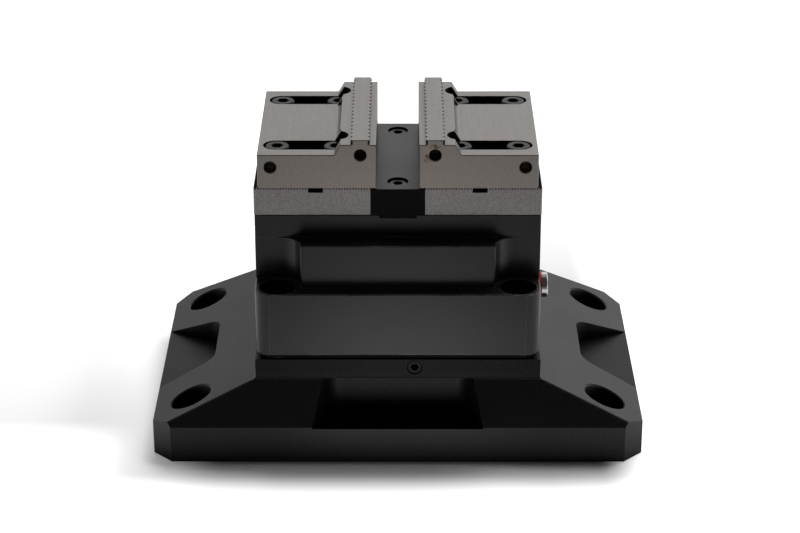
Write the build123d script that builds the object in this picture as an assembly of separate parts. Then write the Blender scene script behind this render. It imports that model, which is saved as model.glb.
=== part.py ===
from build123d import *
import math
import os

# A self-centring vise driven by an air piston, on its clamping riser.
# Sizes are in millimetres. X runs along the jaws' travel, Y to the back and Z up.
# The origin is the centre of the riser's underside, and the jaws are fully closed.

# Fits and edges
running_clearance = 0.05
rail_clearance = 0.06
screw_clearance = 0.05
thread_run_out = 1.0
clearance_hole_ratio = 1.1
edge_break = 0.5
fine_edge_break = 0.35

# Main sizes
jaw_width = 100.0
jaw_travel = 3.0
body_length = 154.8

# Cap screws: shank radius, head radius, head height, hexagon width, hexagon depth
m12_screw = {"shank": 6.0, "head": 9.0, "height": 12.0, "hexagon": 10.0, "socket": 6.0}
m8_screw = {"shank": 4.0, "head": 6.5, "height": 8.0, "hexagon": 6.0, "socket": 4.0}
m6_screw = {"shank": 3.0, "head": 5.0, "height": 6.0, "hexagon": 5.0, "socket": 3.0}
m4_screw = {"shank": 2.0, "head": 3.5, "height": 4.0, "hexagon": 3.0, "socket": 2.0}
piston_screw_size = {"shank": 6.0, "head": 9.0, "height": 7.0, "hexagon": 8.0, "socket": 4.5}
head_chamfer_ratio = 0.08
tip_chamfer_ratio = 0.15

# Riser
riser_length = 269.0
riser_height = 56.0
riser_end_height = 20.2
riser_front_height = 21.2
front_slope_run = 13.6
back_slope_run_per_rise = 6.3 / 23.5
top_block_height = 11.3
top_block_overhang = 0.3
top_block_setback = 0.45
riser_corner_chamfer = 10.3
riser_ridge_chamfer = 0.55
riser_shoulder_break = 0.9
riser_foot_chamfer = 0.6

riser_hole_end_distance = 20.5
riser_hole_side_distance = 22.3
riser_hole_radius = 6.75
riser_counterbore_radius = 10.9
riser_seat_thickness = 14.0
riser_counterbore_chamfer = 0.9

notch_depth = 30.7
notch_back_width = 49.8
notch_flare = 11.4
pocket_depth = 25.8
pocket_back_width = 73.0
pocket_flare = 10.3
pocket_floor_drop = 0.8
pocket_corner_radius = 10.0

# Housing
flange_height = 38.9
flange_corner_radius = 8.0
flange_relief_height = 3.2
flange_relief_inset = 2.0
boss_height = 24.4
boss_beyond_screws = 1.7
boss_corner_flat = 0.2
upper_height = 12.4

corner_wall_radius = 11.7
corner_wall_shift = 0.5
corner_wall_setback = 0.3
body_screw_end_distance = 12.4
body_screw_front_distance = 10.65
body_counterbore_radius = 10.3
body_counterbore_depth = 19.9
body_screw_length = 41.0

# Jaw ways
way_depth = 26.7
way_foot_height = 12.0
way_lip_width = 20.0
way_undercut = 10.0

# Cylinder, piston and cover
housing_wall = 15.15
cover_rim_wall = 0.25
cylinder_cover_thickness = 8.0
cover_spigot_height = 5.0
cover_screw_count = 6
cover_screw_drop = 0.3
cover_screw_head_clearance = 0.1
cover_seal_gap = 1.2
cover_seal_height = 2.4
cover_seal_depth = 1.9
m4_screw_length = 12.0
piston_thickness = 13.3
piston_bottom_gap = 0.4
piston_top_gap = 0.56
piston_bottom_chamfer = 2.2
piston_seal_gap = 2.6
piston_seal_height = 4.0
piston_seal_depth = 3.4
guide_ring_gap = 0.4
guide_ring_height = 2.5
guide_ring_depth = 1.9
piston_ring_clearance = 0.02
piston_screw_length = 29.0
piston_screw_drop = 0.6
piston_screw_head_clearance = 0.3
register_radius = 15.0
register_height = 2.0
rod_margin = 1.22
rod_seal_gap = 1.5
rod_seal_height = 3.3
rod_seal_depth = 3.2
rod_seal_clearance = 0.03

# Wedge hook
wedge_angle = 20.0
wedge_half_width_at_floor = 18.0
wedge_core_depth = 40.0
wedge_top_gap = 0.76
rail_neck_width = 14.0
rail_neck_reach = 5.0
rail_head_side = 5.0
rail_head_reach = 5.5
rail_slot_gap = 0.3
rail_root = 2.0

# Base jaws
jaw_cover_gap = 0.3
base_jaw_overhang = 0.3
base_jaw_lift = 0.5
base_jaw_thickness = 15.3
base_jaw_floor = 2.3
keyway_distance = 29.5
keyway_width = 8.1
keyway_depth = 2.5

# Serrations between base jaws and top jaws
serration_pitch = 1.5
serration_flank_angle = 30.0
base_tooth_share = 0.85
top_tooth_share = 0.15

# Top jaws
top_jaw_overhang = 3.15
top_jaw_setback = 2.3
step_thickness = 19.14
slope_run = 3.4
ledge_rise = 5.76
inner_ledge_width = 3.4
outer_ledge_width = 5.5
bar_width = 10.1
bar_rise = 2.7
bar_notch_pitch = 5.5
bar_notch_width = 2.4
bar_notch_depth = 1.1
relief_offset = 0.6
relief_radius = 3.0
relief_margin = 1.8

slot_side_distance = 15.0
slot_bar_gap = 1.4
slot_end_wall = 2.7
slot_head_clearance = 0.2
slot_shank_clearance = 0.5
slot_head_drop = 0.2
inner_screw_play = 0.3
outer_screw_play = 0.9

stop_hole_radius = 3.1
stop_hole_chamfer = 0.5
stop_hole_end_distance = 7.0
stop_hole_drop = 7.04
stop_hole_wall = 1.3
bar_hole_drop = 8.6
bar_hole_depth = 12.0

# Centre cover
centre_cover_length = 28.9
centre_cover_drop = 0.55
tongue_length = 20.4
tongue_depth = 1.7
lip_screw_distance = 8.5
centre_screw_head_drop = 1.0
centre_screw_head_clearance = 0.75

# Air passages
passage_radius = 2.0
port_radius = 4.8
port_depth = 10.0
port_side_distance = 5.0
upper_port_drop = 3.0
port_seal_thickness = 1.3
port_seal_margin = 0.2
port_head_margin = 2.1
port_head_thickness = 3.3
port_stud_length = 8.0
port_hexagon = 5.0
port_hexagon_depth = 3.5
gallery_x = 9.2
gallery_cover_wall = 0.75
gallery_port_depth = 7.0
gallery_plug_radius = 4.15
gallery_plug_length = 7.0
gallery_plug_recess = 0.5
gallery_plug_chamfer = 0.6
gallery_plug_hexagon = 4.0
gallery_plug_socket = 4.2
lower_transfer_distance = 30.0
transfer_ring_wall = 1.0
transfer_ring_width = 1.6
transfer_ring_bore_clearance = 0.4
transfer_ring_height = 1.2

# Centring sleeves
sleeve_wall = 2.4
sleeve_length = 12.0

# The plan of the housing follows from the jaws, the corner screws and their round walls
half_body = body_length / 2
half_jaw = jaw_width / 2
body_screw_x = half_body - body_screw_end_distance
body_screw_y = half_jaw + corner_wall_setback + corner_wall_radius
flange_width = 2 * (body_screw_y + body_screw_front_distance)
boss_width = 2 * (body_screw_y + boss_beyond_screws)
boss_length = 2 * (body_screw_x - corner_wall_radius - corner_wall_shift)
boss_corner_radius = boss_beyond_screws - boss_corner_flat
way_neck_width = jaw_width - 2 * way_lip_width
way_foot_width = way_neck_width + 2 * way_undercut

# Heights, from the riser up
flange_top = riser_height + flange_height
boss_top = flange_top + boss_height
body_top = boss_top + upper_height
way_floor = body_top - way_depth
way_foot_top = way_floor + way_foot_height
base_jaw_underside = body_top + base_jaw_lift
joint_height = base_jaw_underside + base_jaw_thickness
step_height = joint_height + step_thickness
ledge_height = step_height + ledge_rise
bar_height = ledge_height + bar_rise
slot_floor_height = step_height - slot_head_drop - m8_screw["height"]
centre_cover_top = joint_height - centre_cover_drop
centre_screw_seat = centre_cover_top - centre_screw_head_drop - m6_screw["height"]
tongue_bottom = body_top - tongue_depth
body_screw_seat = flange_top - body_counterbore_depth

# Riser, from the housing that it carries
top_block_half_length = half_body + top_block_overhang
top_block_front = flange_width / 2 - top_block_setback
half_riser_length = riser_length / 2
half_riser_width = top_block_front + front_slope_run
riser_shoulder_height = riser_height - top_block_height
back_slope_run = back_slope_run_per_rise * (riser_shoulder_height - riser_front_height)
top_block_back = half_riser_width - back_slope_run
riser_hole_x = half_riser_length - riser_hole_end_distance
riser_hole_y = half_riser_width - riser_hole_side_distance

# Drive
slope = math.tan(math.radians(wedge_angle))
piston_stroke = jaw_travel / slope
cover_rim = 2 * (m4_screw["head"] + cover_rim_wall)
cover_recess_radius = flange_width / 2 - housing_wall
cylinder_radius = cover_recess_radius - cover_rim
cover_screw_circle_radius = cylinder_radius + cover_rim / 2
cover_recess_top = riser_height + cylinder_cover_thickness
cover_top = cover_recess_top + cover_spigot_height
cover_screw_seat = riser_height + m4_screw["height"] + cover_screw_drop
piston_bottom = cover_top + piston_bottom_gap
piston_top = piston_bottom + piston_thickness
piston_screw_seat = piston_bottom + piston_screw_size["height"] + piston_screw_drop
piston_seal_bottom = piston_top - piston_seal_gap - piston_seal_height
guide_ring_bottom = piston_bottom + piston_bottom_chamfer + guide_ring_gap
cylinder_top = piston_top + piston_stroke + piston_top_gap
rod_seal_bottom = cylinder_top + rod_seal_gap
rod_top = way_floor - piston_stroke - running_clearance
wedge_top = tongue_bottom - piston_stroke - wedge_top_gap
rail_slot_top = wedge_top + piston_stroke + rail_slot_gap
rail_head_width = rail_neck_width + 2 * rail_head_side
wedge_foot_half_width = wedge_half_width_at_floor + (way_floor - rod_top) * slope
rail_reach = rail_neck_reach + rail_head_reach
rod_radius = math.hypot(wedge_foot_half_width + rail_reach, rail_head_width / 2) + rod_margin

# Jaws
centre_cover_half_length = centre_cover_length / 2
base_jaw_inner = centre_cover_half_length + jaw_cover_gap
base_jaw_outer = half_body + base_jaw_overhang
keyway_centre = base_jaw_inner + keyway_distance
serration_flank = math.tan(math.radians(serration_flank_angle))
serration_depth = serration_pitch / 4 / serration_flank
base_tooth_height = base_tooth_share * serration_depth
top_tooth_height = top_tooth_share * serration_depth
top_jaw_inner = base_jaw_inner - top_jaw_overhang
top_jaw_outer = base_jaw_outer - top_jaw_setback
bar_inner = top_jaw_inner + inner_ledge_width
bar_outer = bar_inner + bar_width
ledge_end = bar_outer + outer_ledge_width
step_start = ledge_end + slope_run
relief_wall = ledge_end + relief_offset
slot_width = 2 * (m8_screw["head"] + slot_head_clearance)
slot_through_width = 2 * (m8_screw["shank"] + slot_shank_clearance)
slot_y = half_jaw - slot_side_distance
slot_inner_end = bar_outer + slot_bar_gap
slot_outer_end = top_jaw_outer - slot_end_wall
jaw_screw_inner = slot_inner_end + slot_width / 2 + inner_screw_play
jaw_screw_outer = slot_outer_end - slot_width / 2 - outer_screw_play
jaw_screw_tip = base_jaw_underside + base_jaw_floor
centre_screw_y = way_neck_width / 2 + lip_screw_distance

# Air passages
port_y = cylinder_radius - port_side_distance
upper_port_z = cylinder_top - upper_port_drop
lower_port_z = cover_top + passage_radius
port_head_radius = port_radius + port_head_margin
port_seal_radius = port_head_radius + port_seal_margin
port_places = [(-port_y, upper_port_z), (port_y, lower_port_z)]
gallery_z = riser_height - gallery_plug_radius - gallery_cover_wall
transfer_ring_bore = passage_radius + transfer_ring_bore_clearance
transfer_ring_radius = transfer_ring_bore + transfer_ring_width
upper_transfer_y = cover_recess_radius + transfer_ring_wall + transfer_ring_radius
lower_transfer_y = -lower_transfer_distance
sleeve_bore = clearance_hole_ratio * m12_screw["shank"]
sleeve_radius = sleeve_bore + sleeve_wall
sleeve_places = [(-body_screw_x, -body_screw_y), (body_screw_x, body_screw_y)]

# How far a cut runs on past the face that it starts from
overrun = 1.0


def block(x0, x1, y0, y1, z0, z1):
    """A box between two corners."""
    centre = ((x0 + x1) / 2, (y0 + y1) / 2, (z0 + z1) / 2)
    return Pos(*centre) * Box(x1 - x0, y1 - y0, z1 - z0)


def post(radius, x, y, z0, z1):
    """An upright cylinder."""
    return Pos(x, y, (z0 + z1) / 2) * Cylinder(radius, z1 - z0)


def ring(outer, inner, x, y, z0, z1):
    """An upright ring."""
    return post(outer, x, y, z0, z1) - post(inner, x, y, z0, z1)


def bar_along_x(radius, x0, x1, y, z):
    """A round bar along X."""
    return Pos((x0 + x1) / 2, y, z) * Rot(0, 90, 0) * Cylinder(radius, x1 - x0)


def bar_along_y(radius, x, y0, y1, z):
    """A round bar along Y."""
    return Pos(x, (y0 + y1) / 2, z) * Rot(90, 0, 0) * Cylinder(radius, y1 - y0)


def side_prism(points, y0, y1):
    """An outline of (x, z) points, extruded along Y."""
    outline = make_face(Polyline(*[(x, y0, z) for x, z in points], close=True))
    return extrude(outline, y1 - y0, dir=(0, 1, 0))


def end_prism(points, x0, x1):
    """An outline of (y, z) points, extruded along X."""
    outline = make_face(Polyline(*[(x0, y, z) for y, z in points], close=True))
    return extrude(outline, x1 - x0, dir=(1, 0, 0))


def plan_prism(points, z0, z1):
    """An outline of (x, y) points, extruded along Z."""
    outline = make_face(Polyline(*[(x, y, z0) for x, y in points], close=True))
    return extrude(outline, z1 - z0, dir=(0, 0, 1))


def corners(x, y):
    """The four corners at plus and minus x and y."""
    return [(sx * x, sy * y) for sx in (-1, 1) for sy in (-1, 1)]


def mirrored(solid):
    """The same solid on the other side, across the YZ plane."""
    return mirror(solid, about=Plane.YZ)


def clearance_hole(size):
    """The radius of the hole that a screw passes through."""
    return clearance_hole_ratio * size["shank"]


def threaded_hole(size):
    """The radius of the hole that a screw is driven into."""
    return size["shank"] + screw_clearance


def cap_screw(size, length):
    """A socket head cap screw, upright, with the underside of its head at z = 0."""
    head = post(size["head"], 0, 0, 0, size["height"])
    head = chamfer(head.edges().group_by(Axis.Z)[-1], head_chamfer_ratio * size["head"])
    shank = post(size["shank"], 0, 0, -length, 0)
    shank = chamfer(shank.edges().group_by(Axis.Z)[0], tip_chamfer_ratio * size["shank"])
    hexagon = RegularPolygon(size["hexagon"] / 2, 6, major_radius=False)
    socket = Pos(0, 0, size["height"] - size["socket"]) * extrude(hexagon, size["socket"])
    return head + shank - socket


def riser_base():
    """The riser: one block with sloped flanks, pockets for clamps and four bolt holes."""
    riser = riser_block()
    ridges = [edge for edge in riser.edges() if is_ridge(edge)]
    riser = chamfer(ridges, riser_ridge_chamfer)
    riser = chamfer(riser.edges().group_by(Axis.Z)[0], riser_foot_chamfer)

    for x, y in corners(riser_hole_x, riser_hole_y):
        riser -= post(riser_counterbore_radius, x, y, riser_seat_thickness, riser_height)
    rims = riser.edges().filter_by(GeomType.ELLIPSE)
    riser = chamfer(rims, riser_counterbore_chamfer)
    for x, y in corners(riser_hole_x, riser_hole_y):
        riser -= post(riser_hole_radius, x, y, 0, riser_seat_thickness)

    notch = flared_cut(half_riser_length, notch_depth, notch_back_width, notch_flare)
    notch = Pos(0, 0, riser_end_height) * extrude(notch, riser_height)
    pocket_floor = riser_front_height - pocket_floor_drop
    pocket = flared_cut(half_riser_width, pocket_depth, pocket_back_width, pocket_flare)
    pocket = Pos(0, 0, pocket_floor) * extrude(pocket, riser_shoulder_height - pocket_floor)
    for turn in (0, 180):
        riser -= Rot(0, 0, turn) * notch
        riser -= Rot(0, 0, turn + 90) * pocket

    thread_bottom = body_screw_seat - body_screw_length - thread_run_out
    for x, y in corners(body_screw_x, body_screw_y):
        riser -= post(threaded_hole(m12_screw), x, y, thread_bottom, riser_height)
    for x, y in sleeve_places:
        sleeve_bottom = riser_height - sleeve_length / 2
        riser -= post(sleeve_radius + screw_clearance, x, y, sleeve_bottom, riser_height)

    # One gallery runs through from front to back, the other enters from the back.
    front = -top_block_front
    back = top_block_back
    plug_end = front + gallery_plug_recess + gallery_plug_length + screw_clearance
    riser -= bar_along_y(passage_radius, gallery_x, front, back, gallery_z)
    riser -= bar_along_y(gallery_plug_radius, gallery_x, front, plug_end, gallery_z)
    riser -= bar_along_y(passage_radius, -gallery_x, upper_transfer_y, back, gallery_z)
    for x in (-gallery_x, gallery_x):
        riser -= bar_along_y(gallery_plug_radius, x, back - gallery_port_depth, back, gallery_z)
    riser -= post(passage_radius, gallery_x, lower_transfer_y, gallery_z, riser_height)
    riser -= post(passage_radius, -gallery_x, upper_transfer_y, gallery_z, riser_height)
    return riser


def riser_block():
    """The riser before its holes: a plate with cut corners, sloped up to the top block."""
    plan = Rectangle(riser_length, 2 * half_riser_width)
    plan = chamfer(plan.vertices(), riser_corner_chamfer)
    riser = extrude(plan, riser_height)
    end = sloped_edge(half_riser_length, riser_end_height, top_block_half_length)
    riser &= side_prism(end + mirrored_edge(end), -half_riser_width, half_riser_width)
    back = sloped_edge(half_riser_width, riser_front_height, top_block_back)
    front = sloped_edge(half_riser_width, riser_front_height, top_block_front)
    riser &= end_prism(back + mirrored_edge(front), -half_riser_length, half_riser_length)
    return riser


def sloped_edge(foot, wall_height, top):
    """One side of the riser's outline: an upright wall, the slope, a broken shoulder and the top."""
    run, rise = foot - top, riser_shoulder_height - wall_height
    share = riser_shoulder_break / math.hypot(run, rise)
    edge = [(foot, 0), (foot, wall_height)]
    edge.append((top + share * run, riser_shoulder_height - share * rise))
    edge.append((top, riser_shoulder_height + riser_shoulder_break))
    return edge + [(top, riser_height)]


def mirrored_edge(edge):
    """The same side of an outline, mirrored and back to front."""
    return [(-x, z) for x, z in reversed(edge)]


def is_ridge(edge):
    """Whether an edge of the riser is one of the four ridges that run up to the top block."""
    start, end = edge.position_at(0), edge.position_at(1)
    leans = min(abs(start.X - end.X), abs(start.Y - end.Y), abs(start.Z - end.Z)) > overrun
    return leans and max(start.Z, end.Z) > riser_shoulder_height - riser_shoulder_break


def flared_cut(edge, depth, back_width, flare):
    """The plan of a cut that narrows inward from the edge x = edge, with round inner corners."""
    back = back_width / 2
    mouth = back + flare * (depth + overrun) / depth
    outer = edge + overrun
    points = [(outer, -mouth), (outer, mouth), (edge - depth, back), (edge - depth, -back)]
    outline = Polygon(*points, align=None)
    inner_corners = outline.vertices().group_by(Axis.X)[0]
    return fillet(inner_corners, pocket_corner_radius)


def vise_body():
    """The housing: flange, middle boss, jaw ways, cylinder and air passages."""
    flange = extrude(Rectangle(body_length, flange_width), flange_height)
    flange = fillet(flange.edges().filter_by(Axis.Z), flange_corner_radius)
    flange = chamfer(flange.edges().group_by(Axis.Z)[0], flange_relief_height, flange_relief_inset)
    flange = chamfer(flange.edges().group_by(Axis.Z)[-1], edge_break)
    body = Pos(0, 0, riser_height) * flange
    body += block(-half_body, half_body, -half_jaw, half_jaw, flange_top, body_top)
    body += middle_boss()

    for x, y in corners(body_screw_x, body_screw_y):
        body -= post(body_counterbore_radius, x, y, body_screw_seat, flange_top + overrun)
        body -= post(clearance_hole(m12_screw), x, y, riser_height, body_screw_seat)
    for x, y in sleeve_places:
        sleeve_top = riser_height + sleeve_length / 2
        body -= post(sleeve_radius + screw_clearance, x, y, riser_height, sleeve_top)

    seal_top = rod_seal_bottom + rod_seal_height
    body -= jaw_way()
    body -= post(cover_recess_radius, 0, 0, riser_height, cover_recess_top)
    body -= post(cylinder_radius, 0, 0, riser_height, cylinder_top)
    body -= post(rod_radius + running_clearance, 0, 0, cylinder_top, way_floor)
    body -= post(rod_radius + rod_seal_depth, 0, 0, rod_seal_bottom, seal_top)

    groove_half = tongue_length / 2 + running_clearance
    body -= block(-groove_half, groove_half, -half_jaw, half_jaw, tongue_bottom, body_top)
    for y in (-centre_screw_y, centre_screw_y):
        body -= post(threaded_hole(m6_screw), 0, y, way_foot_top + thread_run_out, body_top)
    for x, y in cover_screw_places():
        thread_top = cover_screw_seat + m4_screw_length + thread_run_out
        body -= post(threaded_hole(m4_screw), x, y, cover_recess_top, thread_top)

    # Side ports, then the passage from the riser up to the upper chamber and its cross drilling.
    for y, z in port_places:
        body -= bar_along_x(passage_radius, 0, half_body, y, z)
        body -= bar_along_x(port_radius, half_body - port_depth, half_body, y, z)
    flange_back = flange_width / 2
    plug_start = flange_back - gallery_plug_recess - gallery_plug_length - screw_clearance
    ring_top = riser_height + transfer_ring_height
    passage_top = upper_port_z + passage_radius
    body -= post(passage_radius, -gallery_x, upper_transfer_y, riser_height, passage_top)
    body -= bar_along_y(passage_radius, -gallery_x, 0, flange_back, upper_port_z)
    body -= bar_along_y(gallery_plug_radius, -gallery_x, plug_start, flange_back, upper_port_z)
    body -= post(transfer_ring_radius, -gallery_x, upper_transfer_y, riser_height, ring_top)
    return body


def middle_boss():
    """The boss between the flange and the ways, with round walls about the corner screws."""
    boss = Rectangle(body_length, boss_width)
    wall_x = boss_length / 2
    wall_y = half_jaw + corner_wall_setback
    reach = body_length
    for sx, sy in corners(1, 1):
        centre = Pos(sx * (wall_x + corner_wall_radius), sy * body_screw_y)
        end = Pos(sx * (wall_x + corner_wall_radius + reach / 2), sy * (wall_y + reach / 2))
        front = Pos(sx * (wall_x + reach / 2), sy * (body_screw_y + reach / 2))
        boss -= centre * Circle(corner_wall_radius)
        boss -= end * Rectangle(reach, reach)
        boss -= front * Rectangle(reach, reach)
    front_y = boss_width / 2 - boss_corner_flat
    boss = fillet([v for v in boss.vertices() if abs(v.Y) > front_y], boss_corner_radius)
    boss = extrude(boss, boss_height)
    boss = chamfer(boss.edges().group_by(Axis.Z)[-1], edge_break)
    return Pos(0, 0, flange_top) * boss


def jaw_way():
    """The T-shaped way along X that both base jaws run in."""
    foot = way_foot_width / 2
    neck = way_neck_width / 2
    outline = [(-foot, way_floor), (foot, way_floor), (foot, way_foot_top), (neck, way_foot_top)]
    outline += [(neck, body_top), (-neck, body_top), (-neck, way_foot_top), (-foot, way_foot_top)]
    return end_prism(outline, -half_body, half_body)


def cover_screw_places():
    """The circle of screws that hold the cylinder cover."""
    angles = [2 * math.pi * (i + 0.5) / cover_screw_count for i in range(cover_screw_count)]
    radius = cover_screw_circle_radius
    return [(radius * math.cos(angle), radius * math.sin(angle)) for angle in angles]


def cylinder_cover():
    """The round cover under the piston, with its spigot in the cylinder."""
    rim = cover_recess_radius - running_clearance
    spigot = cylinder_radius - running_clearance
    cover = post(rim, 0, 0, riser_height, cover_recess_top)
    cover += post(spigot, 0, 0, cover_recess_top, cover_top)
    cover -= cover_seal()
    head = m4_screw["head"] + cover_screw_head_clearance
    for x, y in cover_screw_places():
        cover -= post(clearance_hole(m4_screw), x, y, cover_screw_seat, cover_recess_top)
        cover -= post(head, x, y, riser_height, cover_screw_seat)
    ring_top = riser_height + transfer_ring_height
    cover -= post(passage_radius, gallery_x, lower_transfer_y, riser_height, cover_top)
    cover -= post(transfer_ring_radius, gallery_x, lower_transfer_y, riser_height, ring_top)
    return cover


def cover_seal():
    """The cover's seal, between the spigot's groove and the cylinder."""
    bottom = cover_recess_top + cover_seal_gap
    inner = cylinder_radius - cover_seal_depth
    return ring(cylinder_radius, inner, 0, 0, bottom, bottom + cover_seal_height)


def cylinder_cover_screws():
    """The cover's cap screws, put in from below."""
    screw = Rot(180, 0, 0) * cap_screw(m4_screw, m4_screw_length)
    return [Pos(x, y, cover_screw_seat) * screw for x, y in cover_screw_places()]


def piston():
    """The piston, with grooves for its seal and guide ring and a recess for its screw."""
    disc = post(cylinder_radius - running_clearance, 0, 0, piston_bottom, piston_top)
    disc = chamfer(disc.edges().group_by(Axis.Z)[0], piston_bottom_chamfer)
    disc = chamfer(disc.edges().group_by(Axis.Z)[-1], edge_break)
    disc -= piston_groove(piston_seal_depth, piston_seal_bottom, piston_seal_height)
    disc -= piston_groove(guide_ring_depth, guide_ring_bottom, guide_ring_height)
    head = piston_screw_size["head"] + piston_screw_head_clearance
    register = register_radius + running_clearance
    disc -= post(head, 0, 0, piston_bottom, piston_screw_seat)
    disc -= post(clearance_hole(piston_screw_size), 0, 0, piston_screw_seat, piston_top)
    disc -= post(register, 0, 0, piston_top - register_height, piston_top)
    return disc


def piston_groove(depth, bottom, height):
    """What a groove for a ring removes from the piston."""
    outer = cylinder_radius + overrun
    return ring(outer, cylinder_radius - depth, 0, 0, bottom, bottom + height)


def piston_ring(depth, bottom, height):
    """A ring in a groove of the piston, with running clearance to the cylinder."""
    outer = cylinder_radius - piston_ring_clearance
    return ring(outer, cylinder_radius - depth, 0, 0, bottom, bottom + height)


def piston_screw():
    """The screw that draws the wedge hook onto the piston, put in from below."""
    screw = Rot(180, 0, 0) * cap_screw(piston_screw_size, piston_screw_length)
    return Pos(0, 0, piston_screw_seat) * screw


def wedge_half_width(z):
    """Half the wedge core's length along X at the height z."""
    return wedge_half_width_at_floor - (z - way_floor) * slope


def leaning_rail(z0, z1, clearance):
    """The right rail: a T in plan, drawn upward along the wedge's flank."""
    flank = wedge_half_width(z0)
    neck = rail_neck_width / 2 + clearance
    head = rail_head_width / 2 + clearance
    head_start = flank + rail_neck_reach - clearance
    head_end = flank + rail_reach + clearance
    root = flank - rail_root
    outline = [(root, -neck), (head_start, -neck), (head_start, -head), (head_end, -head)]
    outline += [(x, -y) for x, y in reversed(outline)]
    face = make_face(Polyline(*[(x, y, z0) for x, y in outline], close=True))
    return extrude(face, (z1 - z0) * math.hypot(1, slope), dir=(-slope, 0, 1))


def wedge_hook():
    """The wedge with an inclined T-rail on each flank, on its round rod."""
    low = wedge_foot_half_width
    high = wedge_half_width(wedge_top)
    depth = wedge_core_depth / 2
    core = [(-low, rod_top), (low, rod_top), (high, wedge_top), (-high, wedge_top)]
    rail = leaning_rail(rod_top, wedge_top, 0.0)
    hook = side_prism(core, -depth, depth) + rail + mirrored(rail)
    rod = post(rod_radius, 0, 0, piston_top, rod_top)
    rod = chamfer(rod.edges().group_by(Axis.Z)[-1], edge_break)
    hook += rod
    hook += post(register_radius, 0, 0, piston_top - register_height, piston_top)
    thread_top = piston_screw_seat + piston_screw_length + thread_run_out
    thread_bottom = piston_top - register_height
    hook -= post(threaded_hole(piston_screw_size), 0, 0, thread_bottom, thread_top)
    return hook


def rod_seal():
    """The seal round the wedge hook's rod, in its groove in the housing."""
    top = rod_seal_bottom + rod_seal_height
    inner = rod_radius + rod_seal_clearance
    return ring(rod_radius + rod_seal_depth, inner, 0, 0, rod_seal_bottom, top)


def serration_teeth(first_x, last_x, offset, direction, tooth_height):
    """Grooves along Y, cut from the crest plane into a jaw: direction 1 is up, -1 is down."""
    crest = joint_height - direction * tooth_height
    root = joint_height + direction * serration_depth
    half_mouth = serration_pitch / 4 + tooth_height * serration_flank
    outside = crest - direction * overrun
    first = math.floor((first_x - keyway_centre) / serration_pitch) - 1
    last = math.ceil((last_x - keyway_centre) / serration_pitch) + 1
    start = keyway_centre + (first - 1) * serration_pitch
    end = keyway_centre + (last + 2) * serration_pitch
    outline = [(start, outside), (start, crest)]
    for i in range(first, last + 1):
        centre = keyway_centre + (i + offset) * serration_pitch
        outline += [(centre - half_mouth, crest), (centre, root), (centre + half_mouth, crest)]
    outline += [(end, crest), (end, outside)]
    return side_prism(outline, -half_jaw - overrun, half_jaw + overrun)


def base_jaw():
    """The right base jaw: serrated plate, neck and foot in the way, and the inclined T-slot."""
    crest = joint_height + base_tooth_height
    neck = way_neck_width / 2 - running_clearance
    foot = way_foot_width / 2 - running_clearance
    foot_bottom = way_floor + running_clearance
    foot_top = way_foot_top - running_clearance
    jaw = block(base_jaw_inner, base_jaw_outer, -half_jaw, half_jaw, base_jaw_underside, crest)
    plate_edges = jaw.edges().filter_by(Axis.Z).group_by(Axis.X)[-1]
    jaw = chamfer(plate_edges, edge_break)
    jaw += block(0, half_body, -neck, neck, foot_bottom, base_jaw_underside)
    jaw += block(0, half_body, -foot, foot, foot_bottom, foot_top)

    below = foot_bottom - overrun
    low = wedge_half_width(below) + rail_clearance
    high = wedge_half_width(rail_slot_top) + rail_clearance
    inner_end = [(-overrun, below), (low, below), (high, rail_slot_top)]
    inner_end += [(base_jaw_inner, rail_slot_top), (base_jaw_inner, base_jaw_underside)]
    inner_end.append((-overrun, base_jaw_underside))
    jaw -= side_prism(inner_end, -half_jaw, half_jaw)
    jaw -= leaning_rail(below, rail_slot_top, rail_clearance)

    jaw -= serration_teeth(base_jaw_inner, base_jaw_outer, 0.5, -1, base_tooth_height)
    key = keyway_width / 2
    keyway_floor = joint_height - keyway_depth
    jaw -= block(keyway_centre - key, keyway_centre + key, -half_jaw, half_jaw, keyway_floor, crest)
    for x, y in jaw_screw_places():
        jaw -= post(threaded_hole(m8_screw), x, y, jaw_screw_tip - thread_run_out, crest)
    return jaw


def jaw_screw_places():
    """The places of the right jaw's four screws."""
    return [(x, y) for x in (jaw_screw_inner, jaw_screw_outer) for y in (-slot_y, slot_y)]


def top_jaw_section():
    """The top jaw's outline at its ends: inner face, ledge, bar, ledge, slope and step."""
    crest = joint_height - top_tooth_height
    outline = [(top_jaw_inner, crest), (top_jaw_inner, ledge_height), (bar_inner, ledge_height)]
    outline += [(bar_inner, bar_height), (bar_outer, bar_height), (bar_outer, ledge_height)]
    outline += [(ledge_end, ledge_height), (step_start, step_height)]
    outline += [(top_jaw_outer, step_height), (top_jaw_outer, crest)]
    return outline


def top_jaw_blank():
    """The top jaw before its cuts, with the edges of its front, back and outer end broken."""
    blank = side_prism(top_jaw_section(), -half_jaw, half_jaw)
    sides = blank.edges().filter_by(lambda edge: abs(edge.center().Y) > half_jaw - overrun)
    outer_top = blank.edges().filter_by(Axis.Y).group_by(Axis.X)[-1].sort_by(Axis.Z)[-1]
    joint_edges = sides.group_by(Axis.Z)[0]
    return chamfer([*(sides - joint_edges), outer_top], fine_edge_break)


def slope_relief():
    """What the milled relief between the slots adds before the slope and removes behind it."""
    half = slot_y - slot_width / 2 - relief_margin
    fall = ledge_rise / slope_run
    wall_top = ledge_height - relief_offset * fall
    points = [(ledge_end, ledge_height), (relief_wall, ledge_height), (relief_wall, wall_top)]
    added = side_prism(points, -half, half)
    far = relief_wall + relief_radius
    removed = block(relief_wall, far, -half, half, step_height, ledge_height + overrun)
    return added, removed - relief_foot()


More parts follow.
